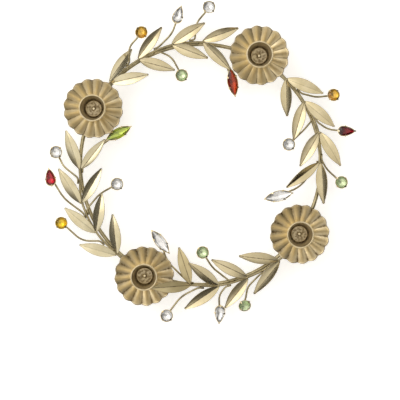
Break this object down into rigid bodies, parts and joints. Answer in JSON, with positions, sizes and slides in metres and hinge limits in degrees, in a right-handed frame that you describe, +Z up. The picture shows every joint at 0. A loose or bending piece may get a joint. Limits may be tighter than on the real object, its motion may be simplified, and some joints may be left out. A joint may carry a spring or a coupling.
{
  "type": "candle ring",
  "caption": "Round wire candle ring on ball feet, with fluted drip pans, tapered candle cups and sprays of folded leaves and claw-set glass stones.",
  "frame": {"origin": "middle of the ring, at the height of the table under its feet", "axes": "+Z up; the ring lies flat, and +Y points to the side whose spray carries the clear pear stone and the amber round stone"},
  "size_m": [0.3232, 0.3354, 0.043],
  "materials": {
    "wire_gold": "plated steel wire, satin antique gold",
    "pressed_gold": "pressed sheet, satin antique gold lacquer",
    "leaf_brass": "stamped sheet, brushed pale champagne brass",
    "polished_ball": "polished, plated pale champagne",
    "claw_setting": "stamped claw setting, bright pale gold",
    "clear_glass": "cut crystal glass, foil back",
    "amber_glass": "cut glass, foil back",
    "yellow_glass": "cut glass, foil back",
    "pale_green_glass": "cut glass, foil back",
    "olive_glass": "cut glass, foil back",
    "orange_glass": "cut glass, foil back",
    "dark_red_glass": "cut glass, foil back",
    "red_glass": "cut glass, foil back"
  },
  "bodies": {
    "root": {"ring_rod": "wire_gold", "foot_ball_top_left": "polished_ball", "drip_pan_top_left": "pressed_gold", "candle_cup_top_left": "pressed_gold", "foot_ball_top_right": "polished_ball", "drip_pan_top_right": "pressed_gold", "candle_cup_top_right": "pressed_gold", "foot_ball_bottom_right": "polished_ball", "drip_pan_bottom_right": "pressed_gold", "candle_cup_bottom_right": "pressed_gold", "foot_ball_bottom_left": "polished_ball", "drip_pan_bottom_left": "pressed_gold", "candle_cup_bottom_left": "pressed_gold", "foot_studs": "wire_gold", "cup_rivets": "pressed_gold", "stem_top": "wire_gold", "leaf_pair_top_1": "leaf_brass", "leaf_pair_top_2": "leaf_brass", "leaf_pair_top_3": "leaf_brass", "leaf_pair_top_4": "leaf_brass", "gem_stalks_top": "wire_gold", "gem_settings_top": "claw_setting", "stem_right": "wire_gold", "leaf_pair_right_1": "leaf_brass", "leaf_pair_right_2": "leaf_brass", "leaf_pair_right_3": "leaf_brass", "leaf_pair_right_4": "leaf_brass", "gem_stalks_right": "wire_gold", "gem_settings_right": "claw_setting", "stem_bottom": "wire_gold", "leaf_pair_bottom_1": "leaf_brass", "leaf_pair_bottom_2": "leaf_brass", "leaf_pair_bottom_3": "leaf_brass", "leaf_pair_bottom_4": "leaf_brass", "gem_stalks_bottom": "wire_gold", "gem_settings_bottom": "claw_setting", "stem_left": "wire_gold", "leaf_pair_left_1": "leaf_brass", "leaf_pair_left_2": "leaf_brass", "leaf_pair_left_3": "leaf_brass", "leaf_pair_left_4": "leaf_brass", "gem_stalks_left": "wire_gold", "gem_settings_left": "claw_setting", "stones_top_amber": "amber_glass", "stones_top_clear": "clear_glass", "stones_top_green": "pale_green_glass", "stones_top_orange": "orange_glass", "stones_right_amber": "amber_glass", "stones_right_dark_red": "dark_red_glass", "stones_right_clear": "clear_glass", "stones_right_green": "pale_green_glass", "stones_bottom_green": "pale_green_glass", "stones_bottom_clear": "clear_glass", "stones_left_yellow": "yellow_glass", "stones_left_red": "red_glass", "stones_left_clear": "clear_glass", "stones_left_olive": "olive_glass"}
  },
  "joints": []
}
